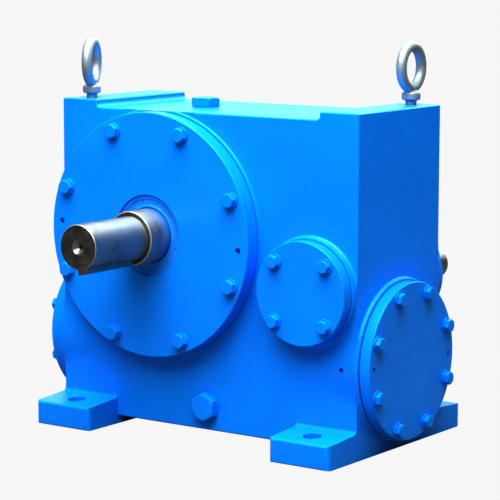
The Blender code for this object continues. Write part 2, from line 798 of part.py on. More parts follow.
def intermediate_shaft():
    """Its worm drives the output wheel, and its wheel is driven by the input worm."""
    end = SIDE + SHAFT_PLAY
    seat = SIDE - 0.024
    collar = 0.040
    collar_start = INPUT_X - 0.034
    collar_end = INPUT_X - 0.024
    profile = [
        (0, end),
        (MIDDLE_SEAT, end),
        (MIDDLE_SEAT, seat),
        (MIDDLE_CORE, seat),
        (MIDDLE_CORE, collar_end),
        (collar, collar_end),
        (collar, collar_start),
        (MIDDLE_CORE, collar_start),
        (MIDDLE_CORE, -seat),
        (MIDDLE_SEAT, -seat),
        (MIDDLE_SEAT, -end),
        (0, -end),
    ]
    threads = worm("intermediate_worm_shaft", SECOND_STAGE, math.pi / 2)
    place(threads, "+X", (OUTPUT_X, CENTRE_Y, MIDDLE_Z))
    core = helper(place(turned("intermediate_core", profile, SMALL), "+X", MIDDLE_AT))
    part(combine(threads, core, "UNION"), STEEL, MIDDLE_AXIS)
    driven = wheel("intermediate_wheel", FIRST_STAGE, math.pi / 2)
    at = (INPUT_X, CENTRE_Y, MIDDLE_Z)
    part(bored(driven, MIDDLE_CORE + SHRINK_FIT, SMALL, "+X", at), BRONZE, MIDDLE_AXIS)


def input_shaft():
    end = HALF + INPUT_REACH
    front_end = -HALF - SHAFT_PLAY
    profile = [
        (0, end - 0.010),
        (0.003, end - 0.008),
        (0.0085, end),
        (INPUT_END - 0.002, end),
        (INPUT_END, end - 0.002),
        (INPUT_END, REAR_FACE + 0.012),
        (INPUT_JOURNAL, REAR_FACE + 0.011),
        (INPUT_JOURNAL, HALF + 0.003),
        (0.0300, HALF + 0.003),
        (0.0300, HALF - 0.023),
        (0.0350, HALF - 0.023),
        (0.0350, HALF - 0.033),
        (0.0230, HALF - 0.040),
        (0.0230, -HALF + 0.023),
        (0.0220, -HALF + 0.023),
        (0.0220, front_end),
        (0, front_end),
    ]
    shaft = place(worm("input_worm_shaft", FIRST_STAGE, math.pi / 2), "+Y", INPUT_AT)
    core = helper(place(turned("input_core", profile, SMALL), "+Y", INPUT_AT))
    combine(shaft, core, "UNION")
    matrix = Matrix.Translation(INPUT_AT) @ TURN["+Y"].to_4x4()
    add_key("input_key", shaft, INPUT_KEY, end - 0.0895, end - 0.0085, False, matrix, INPUT_AXIS)
    part(shaft, STEEL, INPUT_AXIS)


# Assembly

clear_scene()
PARTS = new_collection("worm_gearbox")
CUTTERS = new_collection("cutters")
OUTPUT_AXIS = add_empty("output_axis", "+Y", OUTPUT_AT)
INPUT_AXIS = add_empty("input_axis", "+Y", INPUT_AT)
MIDDLE_AXIS = add_empty("intermediate_axis", "+X", MIDDLE_AT)
SCREW_HOLES = {
    "output": screw_holes("output_holes", M16, OUTPUT_SCREWS, OUTPUT_PLATE, FRONT_FACE, "-Y", OUTPUT_AT),
    "input": screw_holes("input_holes", M14, INPUT_SCREWS, INPUT_PLATE, FRONT_FACE, "-Y", INPUT_AT),
    "right": screw_holes("right_holes", M14, SIDE_SCREWS, SIDE_PLATE, SIDE_FACE, "+X", MIDDLE_AT),
    "left": screw_holes("left_holes", M14, SIDE_SCREWS, SIDE_PLATE, SIDE_FACE, "-X", MIDDLE_AT),
}

housing()
output_cover()
input_blind_cover()
side_cover("right", "+X")
side_cover("left", "-X")
rear_output_cover()
input_seal_cover()
gaskets()
screws()
filler_turn = Matrix.Rotation(FILLER_TURN, 4, "Z")
plug("filler_plug", FILLER_HEAD, Matrix.Translation(FILLER_AT) @ filler_turn)
plug("drain_plug", DRAIN_HEAD, Matrix.Translation(DRAIN_AT) @ TURN["-Y"].to_4x4())
lifting_eye("eyebolt_left", -EYE_X, CENTRE_Y - EYE_SPREAD, LEFT_EYE_TURN)
lifting_eye("eyebolt_right", EYE_X, CENTRE_Y + EYE_SPREAD, RIGHT_EYE_TURN)

output_shaft()
output_wheel()
bearing("output_bearing_front", FRONT_BEARING, HALF, "-Y", OUTPUT_AT)
bearing("output_bearing_rear", REAR_BEARING, HALF - BEARING_INSET, "+Y", OUTPUT_AT)
seal("output_seal", OUTPUT_SEAL, FRONT_FACE, "-Y", OUTPUT_AT)
intermediate_shaft()
bearing("intermediate_bearing_right", MIDDLE_BEARING, SIDE - BEARING_INSET, "+X", MIDDLE_AT)
bearing("intermediate_bearing_left", MIDDLE_BEARING, SIDE - BEARING_INSET, "-X", MIDDLE_AT)
input_shaft()
bearing("input_bearing_front", INPUT_FRONT_BEARING, HALF - BEARING_INSET, "-Y", INPUT_AT)
bearing("input_bearing_rear", INPUT_REAR_BEARING, HALF - BEARING_INSET, "+Y", INPUT_AT)
seal("input_seal", INPUT_SEAL, REAR_FACE, "+Y", INPUT_AT)

for shaded in PARTS.objects:
    if shaded.type == "MESH":
        shaded.data.shade_smooth()
        shaded.data.set_sharp_from_angle(angle=math.radians(30))
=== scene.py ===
"""The looks of a foot-mounted, two-stage worm gearbox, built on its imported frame.

Metres, +Z up. The output shaft leaves the front (-Y), and the input shaft leaves the back (+Y).
Each visible piece stands for the CAD node of its name, in that node's place. The gears and bearings
inside stay as they are in CAD, with finer materials.
"""

import json
import math
from collections import namedtuple

import bmesh
import bpy
from mathutils import Matrix, Vector


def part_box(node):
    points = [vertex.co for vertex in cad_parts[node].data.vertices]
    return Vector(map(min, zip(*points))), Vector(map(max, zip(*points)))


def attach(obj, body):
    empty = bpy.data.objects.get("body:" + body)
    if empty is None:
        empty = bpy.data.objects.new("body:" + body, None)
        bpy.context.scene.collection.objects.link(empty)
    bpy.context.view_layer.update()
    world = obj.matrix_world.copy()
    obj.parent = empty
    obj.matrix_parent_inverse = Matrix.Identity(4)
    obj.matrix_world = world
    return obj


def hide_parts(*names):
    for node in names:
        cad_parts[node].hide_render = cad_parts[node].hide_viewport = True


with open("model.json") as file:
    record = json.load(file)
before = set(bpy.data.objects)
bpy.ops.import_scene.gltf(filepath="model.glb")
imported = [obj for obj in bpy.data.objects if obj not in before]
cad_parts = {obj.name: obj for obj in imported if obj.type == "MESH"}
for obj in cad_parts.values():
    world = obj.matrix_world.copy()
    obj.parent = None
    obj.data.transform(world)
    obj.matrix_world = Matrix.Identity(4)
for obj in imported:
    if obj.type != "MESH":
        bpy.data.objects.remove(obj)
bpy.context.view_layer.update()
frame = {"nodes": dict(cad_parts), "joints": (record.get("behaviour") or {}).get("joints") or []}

# Shaft axes, from the joints
AXES = {joint["name"]: Vector(joint["pos_m"]) for joint in frame["joints"]}
OUTPUT = AXES["output_spin"]
INPUT = AXES["input_spin"]
MIDDLE = AXES["intermediate_spin"]

# How far each cast boss stands out of its wall, and the gap between a boss and its gasket
OUTPUT_BOSS = 0.004
INPUT_BOSS = 0.012
REAR_BOSS = 0.006
SIDE_BOSS = 0.007
GAP = 0.0003

# Housing: its walls are found from the gaskets, which lie on the cast bosses
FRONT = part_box("input_blind_gasket")[1].y + GAP + INPUT_BOSS
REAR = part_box("input_seal_gasket")[0].y - GAP - REAR_BOSS
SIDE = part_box("right_side_gasket")[0].x - GAP - SIDE_BOSS
HALF = (REAR - FRONT) / 2
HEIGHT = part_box("housing")[1].z
LEDGE_DROP = 0.014
LEDGE = HEIGHT - LEDGE_DROP
PAD = 0.080
RELIEF = 0.015
WALL = 0.020
CAST_EDGE = 0.003

# Feet: each slopes up from its edge to its root at the wall
FOOT_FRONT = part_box("housing")[0].y
FOOT_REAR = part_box("housing")[1].y
FOOT_WIDTH = 0.125
FOOT_EDGE = 0.0425
FOOT_ROOT = 0.0485
FOOT_HOLE = 0.0165
FOOT_HOLE_INSET = 0.0425

# Boss and bore radii
OUTPUT_BOSS_RADIUS = 0.2245
INPUT_BOSS_RADIUS = 0.0945
SIDE_BOSS_RADIUS = 0.144
REAR_BOSS_RADIUS = 0.110
OUTPUT_BORE = 0.178
SIDE_BORE = 0.112
REAR_BORE = 0.0724
INPUT_BORE = 0.0524
BORE_DEPTH = 0.050

# Bosses: depth of those inside the walls, draft of the side ones and rounding
INNER_BOSS = 0.027
BOSS_DRAFT = 0.136
BOSS_EDGE = 0.0012

# Covers: rim radii and rounding, a gasket's setback behind the rim, and the spigots' fit in the bores
OUTPUT_RIM = 0.2213
INPUT_RIM = 0.0915
SIDE_RIM = 0.1405
REAR_RIM = 0.105
SEAL_RIM = 0.090
RIM_EDGE = 0.0022
GASKET_SETBACK = 0.0008
SPIGOT_FIT = 0.0008
SEAL_DEPTH = 0.012

# Bolt circles: radius, count and the first bolt's angle
OUTPUT_BOLTS = (0.1994, 8, math.pi / 8)
INPUT_BOLTS = (0.0737, 4, math.pi / 4)
SIDE_BOLTS = (0.1247, 8, math.pi / 8)
SEAL_BOLTS = (0.0745, 6, math.pi / 6)
REAR_BOLTS = (0.0895, 6, math.pi / 6)

# Screws: width across flats, head height, shank and washer radii, and the washer's thickness
Screw = namedtuple("Screw", "flats head shank washer washer_height")
M16 = Screw(0.024, 0.0100, 0.008, 0.015, 0.0030)
M14 = Screw(0.021, 0.0088, 0.007, 0.014, 0.0025)
THREAD_FIT = 0.0007
THREAD_DEPTH = 0.0165
SHANK_DEPTH = 0.036

# Plugs
PLUG_FLATS = 0.046
PLUG_THREAD = 0.0125
PLUG_HOLE = 0.0132

# Shaft ends and journals
OUTPUT_RADIUS = 0.040
OUTPUT_JOURNAL = 0.049
OUTPUT_END_LENGTH = 0.143
INPUT_RADIUS = 0.0275
INPUT_JOURNAL = 0.029
KEY_ANGLE = math.radians(13.2)

# What each direction does to a piece that is built along its own +Z
TURN = {
    "+X": Matrix(((0, 0, 1), (1, 0, 0), (0, 1, 0))),
    "-X": Matrix(((0, 0, -1), (-1, 0, 0), (0, 1, 0))),
    "+Y": Matrix.Rotation(-math.pi / 2, 3, "X"),
    "-Y": Matrix.Rotation(math.pi / 2, 3, "X"),
    "+Z": Matrix.Identity(3),
}


# Mesh tools


def frame_at(direction, at=(0, 0, 0)):
    return Matrix.Translation(at) @ TURN[direction].to_4x4()


def new_object(name, bm):
    mesh = bpy.data.meshes.new(name)
    bm.to_mesh(mesh)
    bm.free()
    obj = bpy.data.objects.new(name, mesh)
    bpy.context.scene.collection.objects.link(obj)
    return obj


def baked(obj):
    """Gives the object the mesh that its modifiers make, in world space."""
    bpy.context.view_layer.update()
    graph = bpy.context.evaluated_depsgraph_get()
    mesh = bpy.data.meshes.new_from_object(obj.evaluated_get(graph))
    obj.modifiers.clear()
    obj.data = mesh
    mesh.transform(obj.matrix_world)
    obj.matrix_world = Matrix.Identity(4)
    return obj


def welded(obj):
    """Merges points that a cut or a rounded edge left closer together than any real detail."""
    same_place = 0.000002
    bm = bmesh.new()
    bm.from_mesh(obj.data)
    bmesh.ops.remove_doubles(bm, verts=bm.verts, dist=same_place)
    bmesh.ops.dissolve_degenerate(bm, edges=bm.edges, dist=same_place)
    bm.to_mesh(obj.data)
    bm.free()
    return obj


def combine(obj, other, operation="DIFFERENCE"):
    """Joins, cuts or clips the object with another one, which is used up."""
    modifier = obj.modifiers.new("Combine", "BOOLEAN")
    modifier.operation = operation
    modifier.object = other
    modifier.solver = "EXACT"
    baked(obj)
    bpy.data.objects.remove(other)
    return welded(obj)


def softened(obj, width, segments=4, angle=30):
    """Rounds every edge that is sharper than the angle."""
    bevel = obj.modifiers.new("Edges", "BEVEL")
    bevel.limit_method = "ANGLE"
    bevel.angle_limit = math.radians(angle)
    bevel.width = width
    bevel.segments = segments
    return welded(baked(obj))


def arc_points(centre, start, end, step):
    """Points from start to end round the centre, the short way."""
    radius = (start - centre).length
    first = math.atan2(*(start - centre).yx)
    turn = math.remainder(math.atan2(*(end - centre).yx) - first, 2 * math.pi)
    count = max(2, round(abs(turn) / step))
    angles = [first + turn * k / count for k in range(count + 1)]
    return [centre + Vector((math.cos(angle), math.sin(angle))) * radius for angle in angles]


def rounded(corners, step=math.radians(15)):
    """An outline through (x, y) corners, where a corner given as (x, y, radius) becomes an arc."""
    points = []
    for index, corner in enumerate(corners):
        here = Vector(corner[:2])
        if len(corner) == 2:
            points.append(here)
            continue
        before = (Vector(corners[index - 1][:2]) - here).normalized()
        after = (Vector(corners[(index + 1) % len(corners)][:2]) - here).normalized()
        half = before.angle(after) / 2
        reach = corner[2] / math.tan(half)
        centre = here + (before + after).normalized() * corner[2] / math.sin(half)
        points += arc_points(centre, here + before * reach, here + after * reach, step)
    return points


def turned(name, corners, direction, at, segments, ring=False):
    """A turned shape on an axis. Its (radius, height) profile runs down the outer side."""
    bm = bmesh.new()
    points = [bm.verts.new((radius, 0, height)) for radius, height in rounded(corners)]
    for first, second in zip(points, points[1:]):
        bm.edges.new((first, second))
    if ring:
        bm.edges.new((points[-1], points[0]))
    obj = new_object(name, bm)
    screw = obj.modifiers.new("Turn", "SCREW")
    screw.steps = segments
    screw.render_steps = segments
    screw.use_merge_vertices = True
    screw.merge_threshold = 0.00001
    obj.matrix_world = frame_at(direction, at)
    return baked(obj)


def prism(name, corners, low, high, matrix):
    """An outline in the (x, y) plane, extruded from low to high along z, then placed by the matrix."""
    bm = bmesh.new()
    face = bm.faces.new([bm.verts.new((x, y, low)) for x, y in rounded(corners)])
    extruded = bmesh.ops.extrude_face_region(bm, geom=[face])["geom"]
    top = [v for v in extruded if isinstance(v, bmesh.types.BMVert)]
    bmesh.ops.translate(bm, verts=top, vec=(0, 0, high - low))
    bmesh.ops.recalc_face_normals(bm, faces=bm.faces)
    obj = new_object(name, bm)
    obj.matrix_world = matrix
    return baked(obj)


def block(name, low, high):
    bm = bmesh.new()
    size = Vector(high) - Vector(low)
    middle = (Vector(high) + Vector(low)) / 2
    bmesh.ops.create_cube(bm, size=1, matrix=Matrix.Translation(middle) @ Matrix.Diagonal((*size, 1)))
    return new_object(name, bm)


def circle(radius, count, first):
    angles = [first + 2 * math.pi * k / count for k in range(count)]
    return [(radius * math.cos(angle), radius * math.sin(angle)) for angle in angles]


def drills(name, radius, start, end, places, direction, at, segments=32):
    """Cylinders from start to end along one direction, one at each place, as one cutter."""
    bm = bmesh.new()
    for x, y in places:
        middle = Matrix.Translation((x, y, (start + end) / 2))
        bmesh.ops.create_cone(
            bm,
            cap_ends=True,
            segments=segments,
            radius1=radius,
            radius2=radius,
            depth=end - start,
            matrix=middle,
        )
    obj = new_object(name, bm)
    obj.matrix_world = frame_at(direction, at)
    return baked(obj)


def finished(obj, material, body="casing", node=None, smooth=32):
    """Shades a piece, gives it its material and fixes it to its body, in its CAD node's place."""
    obj.data.materials.clear()
    obj.data.materials.append(material)
    obj.data.shade_smooth()
    obj.data.set_sharp_from_angle(angle=math.radians(smooth))
    weighted = obj.modifiers.new("Flat faces", "WEIGHTED_NORMAL")
    weighted.keep_sharp = True
    weighted.weight = 80
    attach(obj, body)
    if node:
        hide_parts(node)


# Materials


class Nodes:
    """A material's node tree, with short ways to add what the materials below share."""

    def __init__(self, name):
        self.material = bpy.data.materials.new(name)
        self.material.use_nodes = True
        self.tree = self.material.node_tree
        self.shader = self.tree.nodes["Principled BSDF"]
        self.place = self.tree.nodes.new("ShaderNodeTexCoord").outputs["Object"]

    def link(self, output, target):
        self.tree.links.new(output, target)

    def set(self, **values):
        for name, value in values.items():
            self.shader.inputs[name.replace("_", " ")].default_value = value

    def noise(self, scale, detail=3, roughness=0.5, stretch=None):
        texture = self.tree.nodes.new("ShaderNodeTexNoise")
        texture.inputs["Scale"].default_value = scale
        texture.inputs["Detail"].default_value = detail
        texture.inputs["Roughness"].default_value = roughness
        place = self.place
        if stretch:
            mapping = self.tree.nodes.new("ShaderNodeMapping")
            mapping.inputs["Scale"].default_value = stretch
            self.link(place, mapping.inputs["Vector"])
            place = mapping.outputs["Vector"]
        self.link(place, texture.inputs["Vector"])
        return texture.outputs["Fac"]

    def ramp(self, value, stops):
        """A colour ramp through (position, colour) stops."""
        ramp = self.tree.nodes.new("ShaderNodeValToRGB")
        points = ramp.color_ramp.elements
        while len(points) < len(stops):
            points.new(0.5)
        for point, (position, colour) in zip(points, stops):
            point.position = position
            point.color = (*colour, 1.0)
        self.link(value, ramp.inputs["Fac"])
        return ramp.outputs["Color"]

    def between(self, value, low, high, start=0.3, end=0.7):
        """Maps a value's range from start to end onto low to high."""
        mapped = self.tree.nodes.new("ShaderNodeMapRange")
        mapped.inputs["From Min"].default_value = start
        mapped.inputs["From Max"].default_value = end
        mapped.inputs["To Min"].default_value = low
        mapped.inputs["To Max"].default_value = high
        self.link(value, mapped.inputs["Value"])
        return mapped.outputs["Result"]

    def mix(self, factor, start, colour):
        """Goes from a linked colour to a fixed one."""
        mix = self.tree.nodes.new("ShaderNodeMix")
        mix.data_type = "RGBA"
        self.link(factor, mix.inputs["Factor"])
        self.link(start, mix.inputs["A"])
        mix.inputs["B"].default_value = (*colour, 1.0)
        return mix.outputs["Result"]

    def math(self, operation, first, second=0.0):
        """One step of arithmetic on a linked value, with a number or with another linked value."""
        step = self.tree.nodes.new("ShaderNodeMath")
        step.operation = operation
        self.link(first, step.inputs[0])
        if isinstance(second, float):
            step.inputs[1].default_value = second
        else:
            self.link(second, step.inputs[1])
        return step.outputs[0]

    def overspray_and_shade(self, start, full, none):
        """Blue by distance along Y from the housing's middle, partly stray paint and partly painted shade
        and painted reflection of the blue cover: 1 from start to full, 0 past none.

        The outer edge is ragged, and the inner one is sharp.
        """
        fringe = 0.008
        split = self.tree.nodes.new("ShaderNodeSeparateXYZ")
        self.link(self.place, split.inputs["Vector"])
        reach = self.math("ABSOLUTE", self.math("SUBTRACT", split.outputs["Y"], MIDDLE.y))
        ragged = self.math("MULTIPLY_ADD", self.noise(40, 4, 0.6), 2 * fringe)
        self.link(reach, ragged.node.inputs[2])
        outside = self.between(reach, 0.0, 1.0, start - 0.002, start)
        within = self.between(ragged, 1.0, 0.0, full + fringe, none + fringe)
        return self.math("MULTIPLY", outside, within)

    def bump(self, height, strength, distance):
        """Adds one more layer of bumps under those already there."""
        bump = self.tree.nodes.new("ShaderNodeBump")
        bump.inputs["Strength"].default_value = strength
        bump.inputs["Distance"].default_value = distance
        self.link(height, bump.inputs["Height"])
        normal = self.shader.inputs["Normal"]
        if normal.is_linked:
            self.link(normal.links[0].from_socket, bump.inputs["Normal"])
        self.link(bump.outputs["Normal"], normal)


def enamel(name, waviness):
    """Glossy blue machine enamel. The waviness is that of the surface under the paint."""
    nodes = Nodes(name)
    tone = nodes.noise(7, 4, 0.55)
    stops = [(0.25, (0.002, 0.230, 0.80)), (0.55, (0.002, 0.250, 0.85)), (0.80, (0.002, 0.266, 0.89))]
    nodes.link(nodes.ramp(tone, stops), nodes.shader.inputs["Base Color"])
    nodes.link(nodes.between(nodes.noise(45, 5, 0.6), 0.24, 0.34), nodes.shader.inputs["Roughness"])
    nodes.set(IOR=1.47, Specular_Tint=(0.24, 0.78, 1.0, 1.0))
    nodes.bump(nodes.noise(18, 3), waviness, 0.0016)
    nodes.bump(nodes.noise(420, 2), 0.06, 0.00025)
    return nodes.material


def turned_steel(name):
    """Lathe-turned steel with rings round the shaft's axis, and blue beside the seals: partly stray paint,
    partly painted shade and painted reflection of the blue cover.
    """
    nodes = Nodes(name)
    stops = [
        (0.32, (0.18, 0.18, 0.18)),
        (0.44, (0.33, 0.33, 0.32)),
        (0.70, (0.41, 0.41, 0.40)),
        (0.84, (0.27, 0.25, 0.21)),
    ]
    steel = nodes.ramp(nodes.noise(16, 5, 0.6), stops)
    # Painted shade and painted reflection of the blue cover beside the seals, partly real stray paint:
    # bluer and less metallic there.
    paint_and_shade = nodes.overspray_and_shade(HALF + 0.024, HALF + 0.036, HALF + 0.060)
    nodes.link(nodes.mix(paint_and_shade, steel, (0.002, 0.160, 0.460)), nodes.shader.inputs["Base Color"])
    nodes.link(nodes.between(paint_and_shade, 1.0, 0.15, 0.0, 1.0), nodes.shader.inputs["Metallic"])
    nodes.set(Anisotropic=0.6, Anisotropic_Rotation=0.25)
    tangent = nodes.tree.nodes.new("ShaderNodeTangent")
    tangent.direction_type = "RADIAL"
    tangent.axis = "Y"
    nodes.link(tangent.outputs["Tangent"], nodes.shader.inputs["Tangent"])
    nodes.link(nodes.between(nodes.noise(30, 4), 0.42, 0.52), nodes.shader.inputs["Roughness"])
    nodes.bump(nodes.noise(1, 3, 0.6, stretch=(1, 900, 1)), 0.16, 0.00012)
    return nodes.material


def faced_steel(name):
    """A shaft's end, sawn and roughly faced, oiled dark."""
    nodes = Nodes(name)
    tone = nodes.noise(60, 6, 0.65)
    stops = [(0.30, (0.060, 0.060, 0.056)), (0.60, (0.125, 0.122, 0.112)), (0.85, (0.20, 0.19, 0.17))]
    nodes.link(nodes.ramp(tone, stops), nodes.shader.inputs["Base Color"])
    nodes.set(Metallic=0.85)
    nodes.link(nodes.between(tone, 0.38, 0.60), nodes.shader.inputs["Roughness"])
    nodes.bump(nodes.noise(300, 4), 0.25, 0.0002)
    return nodes.material


def plain(name, colours, metallic, roughness, grain, strength):
    """A surface with two tones, a range of roughness and one layer of grain."""
    nodes = Nodes(name)
    tone = nodes.noise(grain / 8, 4, 0.6)
    nodes.link(nodes.ramp(tone, [(0.3, colours[0]), (0.7, colours[1])]), nodes.shader.inputs["Base Color"])
    nodes.link(nodes.between(nodes.noise(grain / 3, 3), *roughness), nodes.shader.inputs["Roughness"])
    nodes.set(Metallic=metallic)
    nodes.bump(nodes.noise(grain, 3), strength, 0.0003)
    return nodes.material


CAST = enamel("enamel_on_casting", 0.08)
MACHINED = enamel("enamel_on_machined", 0.03)
STEEL = turned_steel("turned_steel")
SHAFT_END = faced_steel("faced_shaft_end")
EDGE_STEEL = plain("edge_steel", ((0.29, 0.29, 0.27), (0.40, 0.39, 0.37)), 0.60, (0.35, 0.50), 300, 0.10)
KEY_STEEL = plain("key_steel", ((0.16, 0.14, 0.13), (0.26, 0.24, 0.23)), 0.9, (0.30, 0.45), 500, 0.15)
ZINC = plain("bright_zinc", ((0.27, 0.32, 0.34), (0.35, 0.40, 0.42)), 0.65, (0.48, 0.58), 60, 0.04)
FIBRE = plain("gasket_fibre", ((0.003, 0.060, 0.220), (0.004, 0.130, 0.450)), 0.0, (0.60, 0.80), 400, 0.30)
SEAL = plain("painted_seal", ((0.002, 0.185, 0.620), (0.002, 0.265, 0.840)), 0.0, (0.45, 0.65), 160, 0.20)
BRONZE = plain("wheel_bronze", ((0.44, 0.25, 0.08), (0.60, 0.37, 0.14)), 1.0, (0.28, 0.42), 300, 0.20)
IRON = plain("hub_iron", ((0.10, 0.10, 0.105), (0.17, 0.17, 0.175)), 0.7, (0.50, 0.70), 240, 0.50)
RACE = plain("bearing_steel", ((0.52, 0.53, 0.55), (0.62, 0.63, 0.65)), 1.0, (0.15, 0.25), 400, 0.10)


# Housing


def wall_boss(name, radius, height, direction, at, wall):
    """A round cast boss on a wall, with a fillet at its foot that stays within the housing's sides."""
    fillet = min(0.006, 0.7 * height)
    skirt = radius + 4 * fillet
    under = wall - 0.0001
    root = wall - 0.006
    profile = [
        (0, wall + height),
        (radius, wall + height, BOSS_EDGE),
        (radius, under, fillet),
        (skirt, under),
        (skirt, root),
        (0, root),
    ]
    return turned(name, profile, direction, at, segments=160)


def boss_swell(side, face):
    """Where the side bearing's boss swells out of a long wall. It has draft, and a cast fillet round it."""
    half_width = 0.075
    inner = SIDE - 0.095
    columns, rows = 48, 72
    fillet = 0.007
    under = 0.0001
    root_depth = 0.010
    bm = bmesh.new()
    grid = []
    for i in range(columns + 1):
        x = inner + (SIDE - inner) * i / columns
        radius = SIDE_BOSS_RADIUS - BOSS_DRAFT * (SIDE - x)
        line = []
        for j in range(rows + 1):
            z = half_width * (2 * j / rows - 1)
            height = math.sqrt(radius**2 - z**2) - HALF
            # The fillet is a parabola that leaves the wall and meets the boss without a crease.
            within = min(max(height, -fillet), fillet)
            proud = max(height, 0) if abs(height) >= fillet else (within + fillet) ** 2 / (4 * fillet)
            line.append(bm.verts.new((side * x, face * (HALF + proud - under), z)))
        grid.append(line)
    for i in range(columns):
        for j in range(rows):
            bm.faces.new((grid[i][j], grid[i + 1][j], grid[i + 1][j + 1], grid[i][j + 1]))
    root = bmesh.ops.extrude_face_region(bm, geom=list(bm.faces))["geom"]
    for vert in root:
        if isinstance(vert, bmesh.types.BMVert):
            vert.co.y = face * (HALF - root_depth)
    bmesh.ops.recalc_face_normals(bm, faces=bm.faces)
    obj = new_object("swell", bm)
    obj.matrix_world = Matrix.Translation((0, MIDDLE.y, MIDDLE.z))
    return baked(obj)


def base_rail(side):
    """One base rail with its two feet, which slope up and sweep into the walls."""
    sole_edge = 0.003
    top_edge = 0.005
    corner = 0.009
    sweep = 0.008
    inside = 0.020
    sunk = 0.0008
    rise = FOOT_ROOT + 0.040
    crown = FOOT_ROOT + 0.041
    profile = [
        (FOOT_FRONT, 0, sole_edge),
        (FOOT_FRONT, FOOT_EDGE, top_edge),
        (FRONT, FOOT_ROOT, sweep),
        (FRONT + sunk, rise),
        (FRONT + inside, crown),
        (REAR - inside, crown),
        (REAR - sunk, rise),
        (REAR, FOOT_ROOT, sweep),
        (FOOT_REAR, FOOT_EDGE, top_edge),
        (FOOT_REAR, 0, sole_edge),
    ]
    low, high = sorted((side * SIDE, side * (SIDE - FOOT_WIDTH)))
    rail = prism("rail", profile, low, high, TURN["+X"].to_4x4())
    plan = [
        (low, FOOT_FRONT, corner),
        (high, FOOT_FRONT, corner),
        (high, FOOT_REAR, corner),
        (low, FOOT_REAR, corner),
    ]
    combine(rail, prism("rail_plan", plan, -0.01, 0.2, Matrix.Identity(4)), "INTERSECT")
    return softened(rail, CAST_EDGE, angle=40)


def housing_body():
    """The box of the housing, with the raised lifting pads at both ends of its top."""
    step = SIDE - PAD
    fillet = 0.008
    corners = [
        (-SIDE, RELIEF),
        (SIDE, RELIEF),
        (SIDE, HEIGHT),
        (step, HEIGHT),
        (step, LEDGE, fillet),
        (-step, LEDGE, fillet),
        (-step, HEIGHT),
        (-SIDE, HEIGHT),
    ]
    body = prism("housing_casting", corners, -REAR, -FRONT, Matrix.Rotation(math.pi / 2, 4, "X"))
    return softened(body, CAST_EDGE)


def housing_bosses(body):
    """Adds every cast boss under a cover, clipped to the housing's own sides and ledge."""
    seats = (
        ("output_boss", OUTPUT_BOSS_RADIUS, OUTPUT_BOSS, "-Y", OUTPUT, HALF),
        ("input_boss", INPUT_BOSS_RADIUS, INPUT_BOSS, "-Y", INPUT, HALF),
        ("rear_output_boss", REAR_BOSS_RADIUS, REAR_BOSS, "+Y", OUTPUT, HALF),
        ("rear_input_boss", INPUT_BOSS_RADIUS, REAR_BOSS, "+Y", INPUT, HALF),
        ("right_boss", SIDE_BOSS_RADIUS, SIDE_BOSS, "+X", MIDDLE, SIDE),
        ("left_boss", SIDE_BOSS_RADIUS, SIDE_BOSS, "-X", MIDDLE, SIDE),
    )
    inset = 0.0005
    for name, radius, height, direction, at, wall in seats:
        boss = wall_boss(name, radius, height, direction, at, wall)
        if "X" in direction:
            low = (-1, FRONT + inset, 0)
            high = (1, REAR - inset, 1)
        else:
            low = (-SIDE + inset, -1, 0)
            high = (SIDE - inset, 1, LEDGE)
        combine(body, combine(boss, block("clip", low, high), "INTERSECT"), "UNION")
    for side, direction in ((-1, "-X"), (1, "+X")):
        face = SIDE + SIDE_BOSS
        root = SIDE - inset
        profile = [(0, face), (SIDE_BOSS_RADIUS, face, BOSS_EDGE), (SIDE_BOSS_RADIUS, root), (0, root)]
        combine(body, turned("bearing_boss", profile, direction, MIDDLE, segments=160), "UNION")
        for wall in (-1, 1):
            combine(body, boss_swell(side, wall), "UNION")


def oil_space(body):
    """Hollows the casting, with bosses inside for the output's rear bearing and both input bearings."""
    low = (-SIDE + WALL, FRONT + WALL, RELIEF + WALL)
    high = (SIDE - WALL, REAR - WALL, LEDGE - WALL)
    combine(body, softened(block("cavity", low, high), 0.012))
    start = HALF - INNER_BOSS
    end = HALF - 0.004
    inner_bosses = (
        (OUTPUT, REAR_BORE + 0.022, "+Y"),
        (INPUT, INPUT_BORE + 0.016, "+Y"),
        (INPUT, INPUT_BORE + 0.016, "-Y"),
    )
    for at, radius, direction in inner_bosses:
        boss = drills("inner_boss", radius, start, end, [(0, 0)], direction, at, segments=96)
        combine(body, boss, "UNION")


def bores(body):
    """Cuts the covers' bores and their screws' threaded holes."""
    past = 0.1
    walls = (
        (OUTPUT, OUTPUT_BORE, "-Y", HALF),
        (OUTPUT, REAR_BORE, "+Y", HALF),
        (INPUT, INPUT_BORE, "-Y", HALF),
        (INPUT, INPUT_BORE, "+Y", HALF),
        (MIDDLE, SIDE_BORE, "+X", SIDE),
        (MIDDLE, SIDE_BORE, "-X", SIDE),
    )
    for at, radius, direction, wall in walls:
        start = wall - BORE_DEPTH
        end = wall + past
        combine(body, drills("bore", radius, start, end, [(0, 0)], direction, at, segments=96))
    threads = (
        (OUTPUT, OUTPUT_BOLTS, M16, "-Y", HALF),
        (INPUT, INPUT_BOLTS, M14, "-Y", HALF),
        (MIDDLE, SIDE_BOLTS, M14, "+X", SIDE),
        (MIDDLE, SIDE_BOLTS, M14, "-X", SIDE),
    )
    for at, bolt_circle, screw, direction, wall in threads:
        radius = screw.shank + THREAD_FIT
        start = wall - THREAD_DEPTH
        end = wall + past / 2
        places = circle(*bolt_circle)
        combine(body, drills("threads", radius, start, end, places, direction, at, segments=16))


